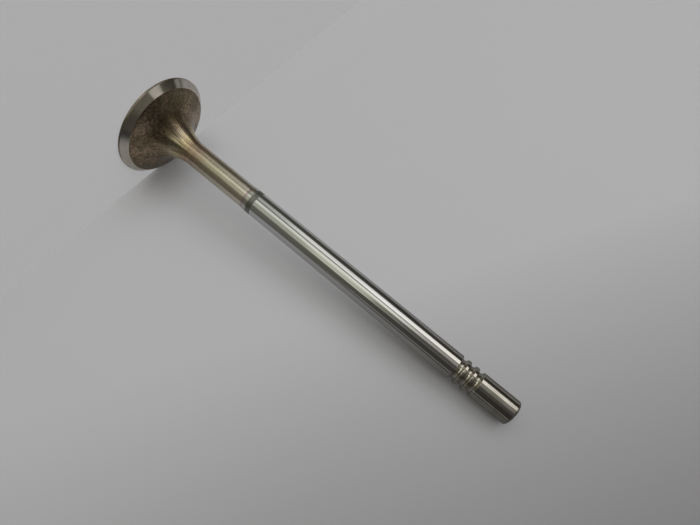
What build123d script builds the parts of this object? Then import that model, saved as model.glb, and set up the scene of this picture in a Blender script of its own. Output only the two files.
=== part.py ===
from build123d import *
from math import cos, radians, sin, tan
import os

# Engine valve: one forged, turned and ground piece, in millimetres and degrees.
# It stands on the flat face of its head, with the stem's axis on +Z and the tip at the top.
# The origin is the centre of that flat face.

# Head: a thin upright rim, the ground seat above it, then the shallow cone of the back
head_diameter = 38.5
face_chamfer = 0.25
rim_height = 0.9
seat_width = 2.2
seat_angle = 45.0
back_angle = 24.0
neck_fillet_radius = 15.0

# Neck: the slimmer turned stretch between the head and the ground stem
neck_diameter = 8.7
neck_run_out = 1.2

# Stem: ground to one diameter from the end of the neck to the tip
stem_diameter = 9.0
stem_bottom = 45.1
overall_length = 156.2
tip_corner_radius = 0.9

# Keeper grooves: round-bottomed rings with rounded lands between them
groove_count = 3
groove_pitch = 3.1
groove_depth = 0.95
groove_radius = 0.95
land_edge_radius = 0.35
shoulder_chamfer = 0.2
last_groove_to_tip = 15.0

# Radii and heights worked out from the sizes above
head_radius = head_diameter / 2
neck_radius = neck_diameter / 2
stem_radius = stem_diameter / 2
seat_inner_radius = head_radius - seat_width
seat_top = rim_height + seat_width * tan(radians(seat_angle))
last_groove = overall_length - last_groove_to_tip
first_groove = last_groove - groove_pitch * (groove_count - 1)


def neck_fillet():
    """The large hollow arc that carries the cone of the back up into the neck."""
    turn = 90 - back_angle
    arc_radius = neck_radius + neck_fillet_radius * (1 - cos(radians(turn)))
    arc_height = seat_top + (seat_inner_radius - arc_radius) * tan(radians(back_angle))
    centre_height = arc_height + neck_fillet_radius * sin(radians(turn))
    centre = (neck_radius + neck_fillet_radius, centre_height)
    return CenterArc(centre, neck_fillet_radius, 180 + turn, -turn)


def half_section():
    """Outline of the valve on one side of its axis, with no grooves and with sharp corners."""
    with BuildSketch(Plane.XZ) as section:
        with BuildLine():
            fillet_arc = neck_fillet()
            Polyline(
                (0, 0),
                (head_radius, 0),
                (head_radius, rim_height),
                (seat_inner_radius, seat_top),
                fillet_arc @ 0,
            )
            Polyline(
                fillet_arc @ 1,
                (neck_radius, stem_bottom - neck_run_out),
                (stem_radius, stem_bottom),
                (stem_radius, overall_length),
                (0, overall_length),
                (0, 0),
            )
        make_face()
    return section.sketch


def keeper_grooves():
    """The rings that are cut into the stem for the keepers, one above the other."""
    ring_radius = stem_radius - groove_depth + groove_radius
    heights = [first_groove + index * groove_pitch for index in range(groove_count)]
    return [Pos(0, 0, height) * Torus(ring_radius, groove_radius) for height in heights]


def ring_edges(solid, radius, low, high):
    """The circular edges of the given radius between two heights."""
    slack = face_chamfer / 10
    return [
        edge for edge in solid.edges().filter_by(GeomType.CIRCLE)
        if abs(edge.radius - radius) < slack and low < edge.center().Z < high
    ]


def engine_valve():
    """The whole valve: head, neck, stem, keeper grooves and tip."""
    valve = revolve(half_section(), Axis.Z) - keeper_grooves()
    above_tip = overall_length + groove_pitch
    tip_edge = ring_edges(valve, stem_radius, last_groove + groove_pitch, above_tip)
    valve = fillet(tip_edge, tip_corner_radius)
    valve = fillet(ring_edges(valve, stem_radius, first_groove, last_groove), land_edge_radius)
    low_shoulder = ring_edges(valve, stem_radius, first_groove - groove_pitch, first_groove)
    high_shoulder = ring_edges(valve, stem_radius, last_groove, last_groove + groove_pitch)
    valve = chamfer(low_shoulder + high_shoulder, shoulder_chamfer)
    face_edge = ring_edges(valve, head_radius, -rim_height, rim_height / 2)
    return chamfer(face_edge, face_chamfer)


os.makedirs("parts", exist_ok=True)
valve = engine_valve()
valve.label = "engine_valve"
export_step(valve, "parts/engine_valve.step")
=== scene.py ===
from math import acos, cos, degrees, pi, radians, sin, sqrt, tan

import bmesh
import bpy
from mathutils import Matrix, Vector


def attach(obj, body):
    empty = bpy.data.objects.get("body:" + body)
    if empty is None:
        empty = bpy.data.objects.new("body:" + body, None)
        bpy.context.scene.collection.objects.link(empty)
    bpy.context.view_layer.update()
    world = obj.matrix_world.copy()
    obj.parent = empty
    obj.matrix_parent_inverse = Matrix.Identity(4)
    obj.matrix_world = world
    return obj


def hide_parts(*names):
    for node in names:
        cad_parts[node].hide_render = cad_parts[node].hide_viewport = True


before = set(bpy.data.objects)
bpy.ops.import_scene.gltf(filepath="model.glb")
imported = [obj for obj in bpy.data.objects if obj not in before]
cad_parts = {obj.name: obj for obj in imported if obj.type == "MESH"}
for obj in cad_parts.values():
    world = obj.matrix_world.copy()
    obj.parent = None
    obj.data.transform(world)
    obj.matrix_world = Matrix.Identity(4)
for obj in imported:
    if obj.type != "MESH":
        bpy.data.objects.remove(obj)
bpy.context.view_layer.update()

MM = 0.001

# Sizes of the valve in millimetres and degrees, the same as those of its solid.
HEAD_R = 19.25
FACE_CHAMFER = 0.25
RIM_TOP = 0.9
SEAT_TOP = 3.1
SEAT_TOP_R = 17.05
BACK_ANGLE = 24.0
FILLET_R = 15.0
NECK_R = 4.35
RAMP_BOTTOM = 43.9
STEM_BOTTOM = 45.1
STEM_R = 4.5
GROOVES = (135.0, 138.1, 141.2)
GROOVE_R = 0.95
LAND_EDGE = 0.35
SHOULDER = 0.2
TIP_CORNER = 0.9
LENGTH = 156.2

# Offsets of radius and height in millimetres that ease the corners above the rim and the seat.
RIM_CORNER = ((0.0, -0.08), (-0.02, 0.0), (-0.07, 0.07))
SEAT_CORNER = ((0.06, -0.06), (0.0, -0.01))

# Heights in millimetres where a finish ends. The first two lie within the eased corners.
FACED_TOP = RIM_TOP + 0.04
SEAT_GROUND_TOP = SEAT_TOP - 0.005
BARE_TOP = 46.25
BAND_TOP = 48.4
PLATED_TOP = GROOVES[0] - GROOVE_R - SHOULDER

# Millimetres from the ends of a straight run to the vertices that keep its shading flat.
FLAT_MARGIN = 0.06
SHOULDER_MARGIN = 0.04
CHAMFER_MARGIN = 0.03

# Steps of the arcs and of the full turn, and the distance in millimetres within which vertices are merged.
FILLET_STEPS = 34
GROOVE_STEPS = 16
LAND_STEPS = 6
TIP_STEPS = 10
SPIN_STEPS = 224
MERGED = 0.002

# The floor and the backdrop are squares, with a side in metres. The backdrop goes through a point in
# millimetres on the head's rim, and leans like a table on which the valve lies on its rim and tip. Both are
# painted darker in one direction, a painted shade that stands for light falling off.
SHEET_SIZE = 3.0
BACKDROP_POINT = (7.05, 17.9, 0.9)
BACKDROP_NORMAL = (-0.3646, -0.9263, -0.0953)
PAINTED_FALL_OFF = (0.519, 0.0, 0.855)

# The camera, fitted to the photo: its place in millimetres, its three turns in degrees, and its lens and
# shift in picture widths.
CAMERA_PLACE = (0, -163.78, 109.08)
CAMERA_ROLL = 129.775
CAMERA_TILT = 79.919
CAMERA_HEADING = -2.567
CAMERA_LENS = 0.7
CAMERA_SHIFT = (0.0534, 0.0222)

# Distances in metres of the lamps in the room and of those that stand for what is close to the valve.
FAR = 0.7
NEAR = 0.136
WHITE = "FFFFFF"
WARM_WHITE = "FAFAF2"
CREAM = "F4F5E4"

# Each lamp's name, azimuths and elevations of its edges in degrees, radiance, colour and distance.
LAMPS = (
    ("window", (-68, -39), (-17, 30), 1.0, WHITE, FAR),
    ("window_side", (-71.5, -67), (-20, 6), 0.5, WHITE, FAR),
    ("window_heart", (-64, -36), (-3, 17), 0.3, WHITE, FAR),
    ("window_low", (-68, -41), (-55, -17), 0.38, WHITE, FAR),
    ("side_glow", (-117, -101), (6, 30), 0.26, WHITE, FAR),
    ("window_top", (-70, -43), (33, 52), 0.42, WHITE, FAR),
    ("strip", (-31, -9), (-55, 6), 0.85, WARM_WHITE, FAR),
    ("strip_fade", (-31, -11), (6, 14), 0.35, WHITE, FAR),
    ("strip_mid", (-29, -10), (-16, 5), 0.3, WARM_WHITE, FAR),
    ("strip_high", (-34, -8), (14, 26), 0.2, WHITE, FAR),
    ("ledge", (-9, 23), (-60, 6), 0.42, CREAM, NEAR),
    ("ledge_edge", (-9, 22), (-14, 6), 0.26, CREAM, NEAR),
    ("ledge_top", (-9, 20), (6, 15), 0.17, CREAM, NEAR),
    ("window_edge", (-44, -25), (-4, 30), 0.09, WHITE, FAR),
    ("ledge_fade", (22, 35), (-55, -6), 0.07, CREAM, FAR),
    ("ledge_high", (-8, 17), (2, 26), 0.045, WHITE, FAR),
    ("ledge_side", (8, 22), (-4, 14), 0.035, WHITE, FAR),
    ("edge_line", (59, 64), (-6, 26), 0.3, WHITE, FAR),
)


def draw_line(section, end, *points):
    """Draws the half section on from its end vertex through points of radius and height."""
    for radius, height in points:
        end = bmesh.ops.extrude_vert_indiv(section, verts=[end])["verts"][0]
        end.co = Vector((radius, 0, height)) * MM
    return end


def draw_flat(section, end, radius, height, margin=FLAT_MARGIN):
    """Draws a straight run with a vertex close to each end, which keeps its shading flat up to its edges."""
    start = (end.co.x / MM, end.co.z / MM)
    length = sqrt((radius - start[0]) ** 2 + (height - start[1]) ** 2)
    shares = (margin / length, 1 - margin / length, 1)
    points = [(start[0] + (radius - start[0]) * s, start[1] + (height - start[1]) * s) for s in shares]
    return draw_line(section, end, *points)


def draw_arc(section, end, centre, turn, steps):
    """Swings the half section on from its end vertex about a centre of radius and height."""
    middle = Vector((centre[0], 0, centre[1])) * MM
    made = bmesh.ops.spin(
        section, geom=[end], cent=middle, axis=(0, -1, 0), angle=radians(turn), steps=steps, use_merge=False
    )
    return next(part for part in made["geom_last"] if isinstance(part, bmesh.types.BMVert))


def draw_head(section):
    """The face with its small bevel, the rim and the seat."""
    rim = [(HEAD_R + out, RIM_TOP + up) for out, up in RIM_CORNER]
    seat = [(SEAT_TOP_R + out, SEAT_TOP + up) for out, up in SEAT_CORNER]
    end = section.verts.new((0, 0, 0))
    end = draw_flat(section, end, HEAD_R - FACE_CHAMFER, 0)
    end = draw_flat(section, end, HEAD_R, FACE_CHAMFER, CHAMFER_MARGIN)
    end = draw_flat(section, end, *rim[0])
    end = draw_line(section, end, *rim[1:])
    end = draw_flat(section, end, *seat[0])
    return draw_line(section, end, *seat[1:])


def draw_neck(section, end):
    """The cone of the back, the large hollow fillet, the slim neck and the ramp up to the stem."""
    turn = 90 - BACK_ANGLE
    arc_r = NECK_R + FILLET_R * (1 - cos(radians(turn)))
    arc_z = SEAT_TOP + (SEAT_TOP_R - arc_r) * tan(radians(BACK_ANGLE))
    centre = (NECK_R + FILLET_R, arc_z + FILLET_R * sin(radians(turn)))
    end = draw_flat(section, end, arc_r, arc_z)
    end = draw_arc(section, end, centre, -turn, FILLET_STEPS)
    end = draw_flat(section, end, NECK_R, RAMP_BOTTOM)
    return draw_flat(section, end, STEM_R, STEM_BOTTOM)


def draw_grooves(section, end):
    """The round keeper grooves with bevelled outer shoulders and rounded lands between them."""
    shoulder_turn = degrees(acos(SHOULDER / GROOVE_R))
    land_turn = degrees(acos(LAND_EDGE / (GROOVE_R + LAND_EDGE)))
    mouth = sqrt(GROOVE_R ** 2 - SHOULDER ** 2)
    reach = sqrt((GROOVE_R + LAND_EDGE) ** 2 - LAND_EDGE ** 2)
    end = draw_flat(section, end, STEM_R, PLATED_TOP)
    end = draw_flat(section, end, STEM_R - SHOULDER, GROOVES[0] - mouth, SHOULDER_MARGIN)
    for index, height in enumerate(GROOVES):
        last = index == len(GROOVES) - 1
        turn = (land_turn if index else shoulder_turn) + (shoulder_turn if last else land_turn)
        end = draw_arc(section, end, (STEM_R, height), -turn, GROOVE_STEPS)
        if not last:
            land_top = GROOVES[index + 1] - reach
            end = draw_arc(section, end, (STEM_R - LAND_EDGE, height + reach), land_turn, LAND_STEPS)
            end = draw_flat(section, end, STEM_R, land_top)
            end = draw_arc(section, end, (STEM_R - LAND_EDGE, land_top), land_turn, LAND_STEPS)
    return draw_flat(section, end, STEM_R, GROOVES[-1] + GROOVE_R + SHOULDER, SHOULDER_MARGIN)


def draw_stem(section, end):
    """The ground stem with its keeper grooves, and the tip with its rounded corner."""
    end = draw_line(section, end, (STEM_R, BARE_TOP), (STEM_R, BAND_TOP))
    end = draw_grooves(section, end)
    end = draw_flat(section, end, STEM_R, LENGTH - TIP_CORNER)
    end = draw_arc(section, end, (STEM_R - TIP_CORNER, LENGTH - TIP_CORNER), 90, TIP_STEPS)
    return draw_flat(section, end, 0, LENGTH)


def spun_valve(finishes):
    """Spins the half section about the stem's axis and gives each height its finish."""
    section = bmesh.new()
    end = draw_head(section)
    end = draw_neck(section, end)
    draw_stem(section, end)
    outline = section.verts[:] + section.edges[:]
    bmesh.ops.spin(
        section, geom=outline, cent=(0, 0, 0), axis=(0, 0, 1), angle=2 * pi, steps=SPIN_STEPS, use_merge=True
    )
    bmesh.ops.remove_doubles(section, verts=section.verts[:], dist=MERGED * MM)
    bmesh.ops.recalc_face_normals(section, faces=section.faces[:])
    for face in section.faces:
        height = face.calc_center_median().z / MM
        face.material_index = next(slot for slot, (top, finish) in enumerate(finishes) if height < top)
        face.smooth = True
    mesh = bpy.data.meshes.new("engine_valve_dressed")
    section.to_mesh(mesh)
    section.free()
    for top, finish in finishes:
        mesh.materials.append(finish)
    valve = bpy.data.objects.new("engine_valve_dressed", mesh)
    bpy.context.scene.collection.objects.link(valve)
    return valve


def linear(hex_colour):
    """Turns an sRGB hex colour into the linear colour that the shaders take."""
    values = [int(hex_colour[place:place + 2], 16) / 255 for place in (0, 2, 4)]
    return tuple(v / 12.92 if v <= 0.04045 else ((v + 0.055) / 1.055) ** 2.4 for v in values) + (1.0,)


def add(tree, kind, inputs=None, **settings):
    """Adds a node with its settings, and gives or links its inputs."""
    node = tree.nodes.new(kind)
    for name, value in settings.items():
        setattr(node, name, value)
    for name, value in (inputs or {}).items():
        if isinstance(value, bpy.types.NodeSocket):
            tree.links.new(value, node.inputs[name])
        else:
            node.inputs[name].default_value = value
    return node


def height_above(tree):
    """Height above the face in metres."""
    place = add(tree, "ShaderNodeTexCoord").outputs["Object"]
    return add(tree, "ShaderNodeSeparateXYZ", {0: place}).outputs[2]


def between_heights(tree, bottom, top, low=0.0, high=1.0):
    """A value that goes smoothly from low to high between two heights in mm."""
    inputs = {0: height_above(tree), 1: bottom * MM, 2: top * MM, 3: low, 4: high}
    return add(tree, "ShaderNodeMapRange", inputs, interpolation_type="SMOOTHSTEP").outputs[0]


def rise_and_fall(tree, rise, fall, high=1.0, low=0.0):
    """A value that rises smoothly from 0 to high over two heights in mm, and falls to low over two more."""
    rising = between_heights(tree, *rise)
    falling = between_heights(tree, *fall, high, low)
    return add(tree, "ShaderNodeMath", {0: rising, 1: falling}, operation="MULTIPLY").outputs[0]


def pattern(tree, sizes, detail=2.0, turned=False):
    """Noise from 0 to 1 with grains of the given sizes in mm along X, Y and Z. Turned noise is the same all
    round the axis, and takes the first size along the radius and the last along the height."""
    place = add(tree, "ShaderNodeTexCoord").outputs["Object"]
    if turned:
        apart = add(tree, "ShaderNodeSeparateXYZ", {0: place})
        level = add(tree, "ShaderNodeCombineXYZ", {0: apart.outputs[0], 1: apart.outputs[1]})
        radius = add(tree, "ShaderNodeVectorMath", {0: level.outputs[0]}, operation="LENGTH").outputs["Value"]
        place = add(tree, "ShaderNodeCombineXYZ", {0: radius, 2: apart.outputs[2]}).outputs[0]
    scale = [1 / (size * MM) for size in sizes]
    spread = add(tree, "ShaderNodeMapping", {"Vector": place, "Scale": scale}).outputs[0]
    return add(tree, "ShaderNodeTexNoise", {"Vector": spread, "Scale": 1.0, "Detail": detail}).outputs[0]


def meridians(tree, width, radius, length, detail=3.0):
    """Noise from 0 to 1 in lines down the form, with a length in mm, and a width in mm at a radius."""
    place = add(tree, "ShaderNodeTexCoord").outputs["Object"]
    around = add(tree, "ShaderNodeTexGradient", {"Vector": place}, gradient_type="RADIAL").outputs["Fac"]
    unrolled = add(tree, "ShaderNodeCombineXYZ", {0: around, 2: height_above(tree)}).outputs[0]
    scale = (2 * pi * radius / width, 1, 1 / (length * MM))
    spread = add(tree, "ShaderNodeMapping", {"Vector": unrolled, "Scale": scale}).outputs[0]
    return add(tree, "ShaderNodeTexNoise", {"Vector": spread, "Scale": 1.0, "Detail": detail}).outputs[0]


def fill_ramp(ramp, stops):
    """Gives a colour ramp its stops, each a place from 0 to 1 and a hex value."""
    elements = ramp.color_ramp.elements
    for index, (place, colour) in enumerate(stops):
        element = elements[index] if index < 2 else elements.new(place)
        element.position = place
        element.color = linear(colour)
    return ramp.outputs[0]


def height_colours(tree, stops, top):
    """Colours by height above the face, given as millimetres and hex values, up to a top height."""
    share = add(tree, "ShaderNodeMapRange", {0: height_above(tree), 1: 0.0, 2: top * MM}).outputs[0]
    ramp = add(tree, "ShaderNodeValToRGB", {0: share})
    return fill_ramp(ramp, [(level / top, colour) for level, colour in stops])


def stained(tree, tone, stain, noise, start=0.3, stop=0.7, strength=1.0, where=None):
    """Blends a tone towards a stain up to a strength, where a noise rises from start to stop."""
    share = add(tree, "ShaderNodeMapRange", {0: noise, 1: start, 2: stop, 4: strength}).outputs[0]
    if where is not None:
        share = add(tree, "ShaderNodeMath", {0: share, 1: where}, operation="MULTIPLY").outputs[0]
    return add(tree, "ShaderNodeMix", {0: share, 6: tone, 7: stain}, data_type="RGBA").outputs[2]


def new_metal(name, roughness, colour=WHITE, anisotropy=0.0):
    """A bare metal. Anisotropy draws its highlights out as fine lines round the axis do."""
    material = bpy.data.materials.new(name)
    material.use_nodes = True
    tree = material.node_tree
    shader = tree.nodes["Principled BSDF"]
    shader.inputs["Metallic"].default_value = 1.0
    shader.inputs["Base Color"].default_value = linear(colour)
    shader.inputs["Roughness"].default_value = roughness
    if anisotropy:
        shader.inputs["Anisotropic"].default_value = anisotropy
        shader.inputs["Anisotropic Rotation"].default_value = 0.25
        around = add(tree, "ShaderNodeTangent", direction_type="RADIAL", axis="Z")
        tree.links.new(around.outputs[0], shader.inputs["Tangent"])
    return material, tree, shader


def raise_marks(tree, shader, height, depth):
    """Gives the surface fine marks: depth is their height from lowest to highest in mm."""
    bump = add(tree, "ShaderNodeBump", {"Height": height, "Strength": 1.0, "Distance": depth * MM})
    tree.links.new(bump.outputs[0], shader.inputs["Normal"])


def faced_steel():
    """Forged steel, faced on a lathe and greyed by heat: fine rings round the centre, dull and grey-brown."""
    material, tree, shader = new_metal("faced_steel", roughness=0.34, anisotropy=0.4)
    # Facing leaves rings 0.1 to 0.2 mm apart. They are drawn coarser, so that they show.
    rings = pattern(tree, (0.45, 1, 400), turned=True)
    stain = pattern(tree, (6, 6, 6), detail=4)
    tone = stained(tree, linear("9B9287"), linear("7F7466"), stain)
    tree.links.new(tone, shader.inputs["Base Color"])
    raise_marks(tree, shader, rings, depth=0.006)
    return material


def ground_seat_steel():
    """Hard seat facing, finely ground: bright, with soft lines along the ring and faint stains."""
    material, tree, shader = new_metal("ground_seat_steel", roughness=0.14, anisotropy=0.85)
    # Lines of grinding are some hundredths of a millimetre wide. They are drawn coarser, so that they show.
    lines = pattern(tree, (0.22, 1, 0.22), turned=True)
    stain = pattern(tree, (5, 5, 3), detail=3)
    tone = stained(tree, linear("C9C4B9"), linear("B2AB9E"), stain)
    tree.links.new(tone, shader.inputs["Base Color"])
    raise_marks(tree, shader, lines, depth=0.0015)
    return material


def oxidised_turned_steel():
    """Turned valve steel with the oxide of its heat treatment: mottled brown and olive on the back, fine
    lines that run down the fillet into gold, and a purple tint in the last turning lines before the stem."""
    material, tree, shader = new_metal("oxidised_turned_steel", roughness=0.3, anisotropy=0.35)
    stops = (
        (3.1, "93806D"), (3.6, "C0AB92"), (6.8, "BCA88D"), (9.0, "C6B698"), (11.9, "D6C9AC"),
        (14.4, "D6C69E"), (17.3, "C2AC94"), (20.3, "B8A592"), (23.7, "BBB09B"), (28.0, "BFB9A4"),
        (41.5, "CFCABA"), (43.8, "D3CDC0"), (44.3, "A99BA0"), (44.8, "C1BCB4"),
    )
    tone = height_colours(tree, stops, STEM_BOTTOM)
    on_back = between_heights(tree, 7, 14, 1.0, 0.0)
    on_fillet = rise_and_fall(tree, (5, 8), (13, 24), low=0.25)
    # The size below zero mirrors the noise, which puts most of its olive on the side where the photo has it.
    olive = pattern(tree, (-7.5, 7.5, 7.5), detail=3)
    patches = pattern(tree, (1.0, 1.0, 1.0), detail=4)
    # The grains of the oxide, the lines down the fillet and the turning rings are really 0.1 to 0.2 mm wide.
    # They are drawn coarser, so that they show.
    grains = pattern(tree, (0.38, 0.38, 0.5), detail=3)
    lines = meridians(tree, width=0.45, radius=8.0, length=9.0)
    rings = pattern(tree, (0.42, 1, 0.42), detail=3, turned=True)
    tone = stained(tree, tone, linear("7E7A5E"), olive, 0.44, 0.6, strength=0.9, where=on_back)
    tone = stained(tree, tone, linear("6B5544"), patches, 0.42, 0.6, strength=0.72, where=on_back)
    tone = stained(tree, tone, linear("57473B"), grains, 0.42, 0.6, strength=0.65, where=on_back)
    tone = stained(tree, tone, linear("5E4A34"), lines, 0.48, 0.6, strength=0.85, where=on_fillet)
    tone = stained(tree, tone, linear("7A6A58"), rings, 0.45, 0.7, strength=0.5, where=on_fillet)
    tree.links.new(tone, shader.inputs["Base Color"])
    tree.links.new(between_heights(tree, 6, 14, 0.34, 0.26), shader.inputs["Roughness"])
    raise_marks(tree, shader, rings, depth=0.014)
    return material


def bare_ground_steel():
    """The steel of the stem where the plating stops, ground bare: a bright cool ring."""
    material, tree, shader = new_metal("bare_ground_steel", roughness=0.2, colour="BDBEB8", anisotropy=0.4)
    # Drawn coarser than the real lines of grinding, so that they show.
    lines = pattern(tree, (1, 1, 0.25), turned=True)
    raise_marks(tree, shader, lines, depth=0.002)
    return material


def matt_plating_edge():
    """The dull grey start of the plating, left as it came from the bath: dark, without sharp reflections."""
    material, tree, shader = new_metal("matt_plating_edge", roughness=0.42)
    # The specks of the plate are really far finer. They are drawn coarser, so that they show.
    speck = pattern(tree, (0.4, 0.4, 0.4), detail=3)
    tone = stained(tree, linear("767772"), linear("888983"), speck)
    tree.links.new(tone, shader.inputs["Base Color"])
    return material


def hard_chrome():
    """Hard chrome plate, ground and polished: mirror bright, with long faint streaks along the stem. It is a
    touch cooler near the neck and warmer near the grooves."""
    material, tree, shader = new_metal("hard_chrome", roughness=0.115, anisotropy=0.85)
    # The fine scratches along the stem are drawn wider than they are, so that they show.
    streaks = pattern(tree, (0.5, 0.5, 60), detail=3)
    tone = stained(tree, linear("CDCDCA"), linear("BABAB6"), streaks)
    cooler = between_heights(tree, 52, 80, 0.5, 0.0)
    warmer = between_heights(tree, 105, 133, 0.0, 0.38)
    for share, tint in ((cooler, "C4C8C9"), (warmer, "CCC0B2")):
        tone = add(tree, "ShaderNodeMix", {0: share, 6: tone, 7: linear(tint)}, data_type="RGBA").outputs[2]
    tree.links.new(tone, shader.inputs["Base Color"])
    raise_marks(tree, shader, streaks, depth=0.0012)
    return material


def turned_tip_steel():
    """Hardened stem end, turned and ground: bright but warmer than the chrome, with fine lines round it."""
    material, tree, shader = new_metal("turned_tip_steel", roughness=0.11, anisotropy=0.7)
    # Drawn coarser than the real lines of turning and grinding, so that they show.
    lines = pattern(tree, (0.3, 1, 0.3), turned=True)
    stain = pattern(tree, (2.5, 2.5, 4), detail=3)
    tone = stained(tree, linear("CBC6BA"), linear("B4AFA2"), stain)
    tree.links.new(tone, shader.inputs["Base Color"])
    raise_marks(tree, shader, lines, depth=0.0018)
    return material


def stage_paint(name, colour, glow, painted_lift=0.0):
    """Plain matt paint, lit by the lamps and by an even glow all over. Beside the lower stem, lift adds
    painted light that lightens the valve's shadow. Painted shade darkens it beyond the stem's upper half,
    and it fades far from the valve. The metal mirrors it darker higher up and towards +X, a painted shade
    seen only in reflections. Nothing of it shows from behind."""
    material = bpy.data.materials.new(name)
    material.use_nodes = True
    tree = material.node_tree
    tree.nodes.clear()
    place = add(tree, "ShaderNodeTexCoord").outputs["Object"]
    inputs = {0: place, 1: PAINTED_FALL_OFF}
    along = add(tree, "ShaderNodeVectorMath", inputs, operation="DOT_PRODUCT").outputs["Value"]
    away = add(tree, "ShaderNodeVectorMath", {0: place}, operation="LENGTH").outputs["Value"]
    aside = add(tree, "ShaderNodeSeparateXYZ", {0: place}).outputs[0]
    # Each distance, where in millimetres the paint starts to darken and is darkest, and by how much.
    fades = ((along, 85, 180, 0.53), (away, 400, 620, 1.0), (aside, 60, 110, 0.7))
    # Along and aside give painted shade; the shade from aside is seen only in the metal's reflections.
    along, away, aside = [
        add(tree, "ShaderNodeMapRange", {0: value, 1: start * MM, 2: stop * MM, 3: 0.0, 4: most}).outputs[0]
        for value, start, stop, most in fades
    ]
    glossy = add(tree, "ShaderNodeLightPath").outputs["Is Glossy Ray"]
    # Painted shade that only the metal's reflections show: darker higher up, more so above 120 mm, and
    # towards +X.
    mirrored = (between_heights(tree, 0, 130, 0.1, 0.46), aside, between_heights(tree, 120, 140, 0.0, 0.38))
    # Painted light beside the lower stem: an extra even glow that lightens the valve's shadow there.
    level = rise_and_fall(tree, (8, 24), (35, 130), high=painted_lift)
    # Where the level adds even light, the tone darkens by 1.6 times as much, so lamps count for less there.
    products = [(share, glossy) for share in mirrored] + [(level, 1.6)]
    shares = [along, away] + [
        add(tree, "ShaderNodeMath", {0: share, 1: other}, operation="MULTIPLY").outputs[0]
        for share, other in products
    ]
    tone = linear(colour)
    for share in shares:
        blend = {0: share, 6: tone, 7: linear("000000")}
        tone = add(tree, "ShaderNodeMix", blend, data_type="RGBA").outputs[2]
    lit = add(tree, "ShaderNodeBsdfDiffuse", {"Color": tone}).outputs[0]
    # The emission is the even glow plus the painted light beside the lower stem.
    strength = add(tree, "ShaderNodeMath", {0: level, 1: glow}, operation="ADD").outputs[0]
    even = add(tree, "ShaderNodeEmission", {"Color": linear("CACACB"), "Strength": strength}).outputs[0]
    paint = add(tree, "ShaderNodeAddShader", {0: lit, 1: even}).outputs[0]
    clear = add(tree, "ShaderNodeBsdfTransparent").outputs[0]
    behind = add(tree, "ShaderNodeNewGeometry").outputs["Backfacing"]
    mix = add(tree, "ShaderNodeMixShader", {0: behind, 1: paint, 2: clear})
    add(tree, "ShaderNodeOutputMaterial", {"Surface": mix.outputs[0]})
    return material


def flat_sheet(name, point, normal, material, mirrored=False):
    """A large flat square that faces along its normal and goes through a point in mm. The metal mirrors it or
    doesn't."""
    sheet = bmesh.new()
    bmesh.ops.create_grid(sheet, x_segments=1, y_segments=1, size=SHEET_SIZE / 2)
    turn = Vector(normal).to_track_quat("Z", "Y").to_matrix().to_4x4()
    bmesh.ops.transform(sheet, matrix=Matrix.Translation(Vector(point) * MM) @ turn, verts=sheet.verts[:])
    mesh = bpy.data.meshes.new(name)
    sheet.to_mesh(mesh)
    sheet.free()
    mesh.materials.append(material)
    thing = bpy.data.objects.new(name, mesh)
    bpy.context.scene.collection.objects.link(thing)
    thing.visible_glossy = mirrored
    thing.visible_diffuse = False
    thing.visible_shadow = False


def towards(azimuth, elevation):
    """Unit vector of a direction. Azimuth 0 is the camera's side, and elevation is above level."""
    a = radians(azimuth)
    e = radians(elevation)
    return Vector((sin(a) * cos(e), -cos(a) * cos(e), sin(e)))


def dimmed(tree, tone, ray, direction, reach, share):
    """Dims the room by a share round a direction. The cosines of reach say where that starts and is full."""
    inputs = {0: ray, 1: direction}
    facing = add(tree, "ShaderNodeVectorMath", inputs, operation="DOT_PRODUCT").outputs["Value"]
    dim = add(tree, "ShaderNodeMapRange", {0: facing, 1: reach[0], 2: reach[1], 3: 0, 4: share}).outputs[0]
    blend = {0: dim, 6: tone, 7: linear("2A2928")}
    return add(tree, "ShaderNodeMix", blend, data_type="RGBA").outputs[2]


def room_light():
    """The room that the metal mirrors: lighter low and high, dim between, dark overhead and in two patches.
    The camera itself sees plain grey."""
    world = bpy.data.worlds.new("room")
    bpy.context.scene.world = world
    world.use_nodes = True
    tree = world.node_tree
    tree.nodes.clear()
    ray = add(tree, "ShaderNodeTexCoord").outputs["Generated"]
    up = add(tree, "ShaderNodeSeparateXYZ", {0: ray}).outputs["Z"]
    share = add(tree, "ShaderNodeMapRange", {0: up, 1: -1, 2: 1}).outputs[0]
    stops = (
        (0.27, "736F66"), (0.38, "6A6860"), (0.44, "605E57"), (0.52, "474643"), (0.62, "3A3938"),
        (0.72, "3A3937"), (0.86, "6E6B64"), (0.91, "7A7770"), (0.968, "201F1E"),
    )
    shade = fill_ramp(add(tree, "ShaderNodeValToRGB", {0: share}), stops)
    shade = dimmed(tree, shade, ray, towards(48, 50), reach=(0.88, 0.97), share=0.55)
    shade = dimmed(tree, shade, ray, towards(-95, -12), reach=(0.92, 0.98), share=0.5)
    seen = add(tree, "ShaderNodeLightPath").outputs["Is Camera Ray"]
    shown = add(tree, "ShaderNodeMix", {0: seen, 6: shade, 7: linear("ACAAAB")}, data_type="RGBA").outputs[2]
    sky = add(tree, "ShaderNodeBackground", {"Color": shown})
    add(tree, "ShaderNodeOutputWorld", {"Surface": sky.outputs[0]})


def table_light():
    """A wide soft light that gives the valve its shadow on the backdrop. The metal doesn't mirror it."""
    lamp = bpy.data.lights.new("table_light", "SUN")
    lamp.energy = 0.98
    lamp.angle = radians(86)
    sun = bpy.data.objects.new("table_light", lamp)
    sun.rotation_euler = towards(-40, 12).to_track_quat("Z", "Y").to_euler()
    sun.visible_glossy = False
    bpy.context.scene.collection.objects.link(sun)


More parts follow.
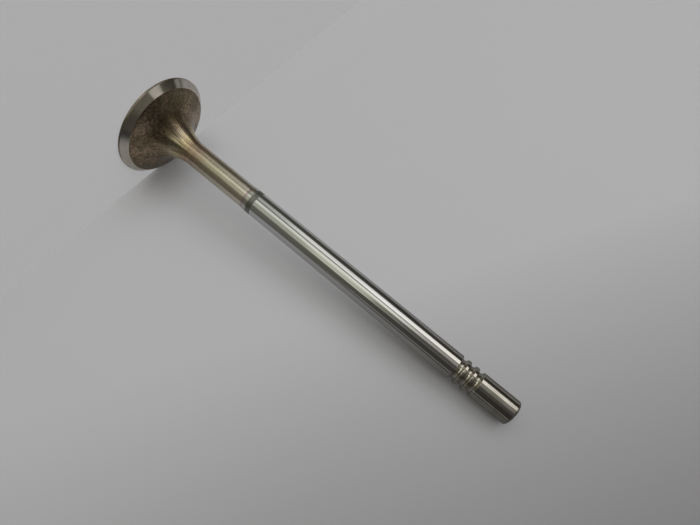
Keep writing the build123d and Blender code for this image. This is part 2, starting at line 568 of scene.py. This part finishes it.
def soft_box(name, sides, levels, radiance, colour, distance):
    """An oblong lamp that faces the valve's axis, between two azimuths and two elevations as seen from the
    valve's middle. A near one is only mirrored by the metal and doesn't light the floor."""
    lamp = bpy.data.lights.new(name, "AREA")
    lamp.shape = "RECTANGLE"
    lamp.size = 2 * distance * tan(radians(sides[1] - sides[0]) / 2)
    lamp.size_y = distance * (tan(radians(levels[1])) - tan(radians(levels[0])))
    lamp.energy = radiance * pi * lamp.size * lamp.size_y
    lamp.color = linear(colour)[:3]
    box = bpy.data.objects.new(name, lamp)
    direction = towards(sum(sides) / 2, 0)
    rise = distance * (tan(radians(levels[1])) + tan(radians(levels[0]))) / 2
    box.location = direction * distance + Vector((0, 0, LENGTH / 2 * MM + rise))
    box.rotation_euler = direction.to_track_quat("Z", "Y").to_euler()
    box.visible_camera = False
    box.visible_diffuse = distance > NEAR
    bpy.context.scene.collection.objects.link(box)


def photo_camera():
    """Stands where the photo was taken, a hand's length from the stem, with the picture cut off-centre."""
    data = bpy.data.cameras.new("photo_camera")
    data.lens = CAMERA_LENS * data.sensor_width
    data.shift_x, data.shift_y = CAMERA_SHIFT
    camera = bpy.data.objects.new("photo_camera", data)
    camera.location = Vector(CAMERA_PLACE) * MM
    heading = Matrix.Rotation(radians(CAMERA_HEADING), 4, "Z")
    tilt = Matrix.Rotation(radians(CAMERA_TILT), 4, "X")
    roll = Matrix.Rotation(radians(CAMERA_ROLL), 4, "Z")
    camera.rotation_euler = (heading @ tilt @ roll).to_euler()
    bpy.context.scene.collection.objects.link(camera)
    bpy.context.scene.camera = camera


valve = spun_valve((
    (FACED_TOP, faced_steel()),
    (SEAT_GROUND_TOP, ground_seat_steel()),
    (STEM_BOTTOM, oxidised_turned_steel()),
    (BARE_TOP, bare_ground_steel()),
    (BAND_TOP, matt_plating_edge()),
    (PLATED_TOP, hard_chrome()),
    (LENGTH + 1, turned_tip_steel()),
))
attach(valve, "root")
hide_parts("engine_valve")

flat_sheet("floor", (0, 0, 0), (0, 0, 1), stage_paint("floor_paint", "B4B4B5", glow=0.508))
# The backdrop glows a little more beside the lower stem, as painted light.
backdrop_paint = stage_paint("backdrop_paint", "C6C6C9", glow=0.068, painted_lift=0.2)
flat_sheet("backdrop", BACKDROP_POINT, BACKDROP_NORMAL, backdrop_paint, mirrored=True)

room_light()
table_light()
for lamp in LAMPS:
    soft_box(*lamp)
photo_camera()
bpy.context.scene.view_settings.view_transform = "Standard"
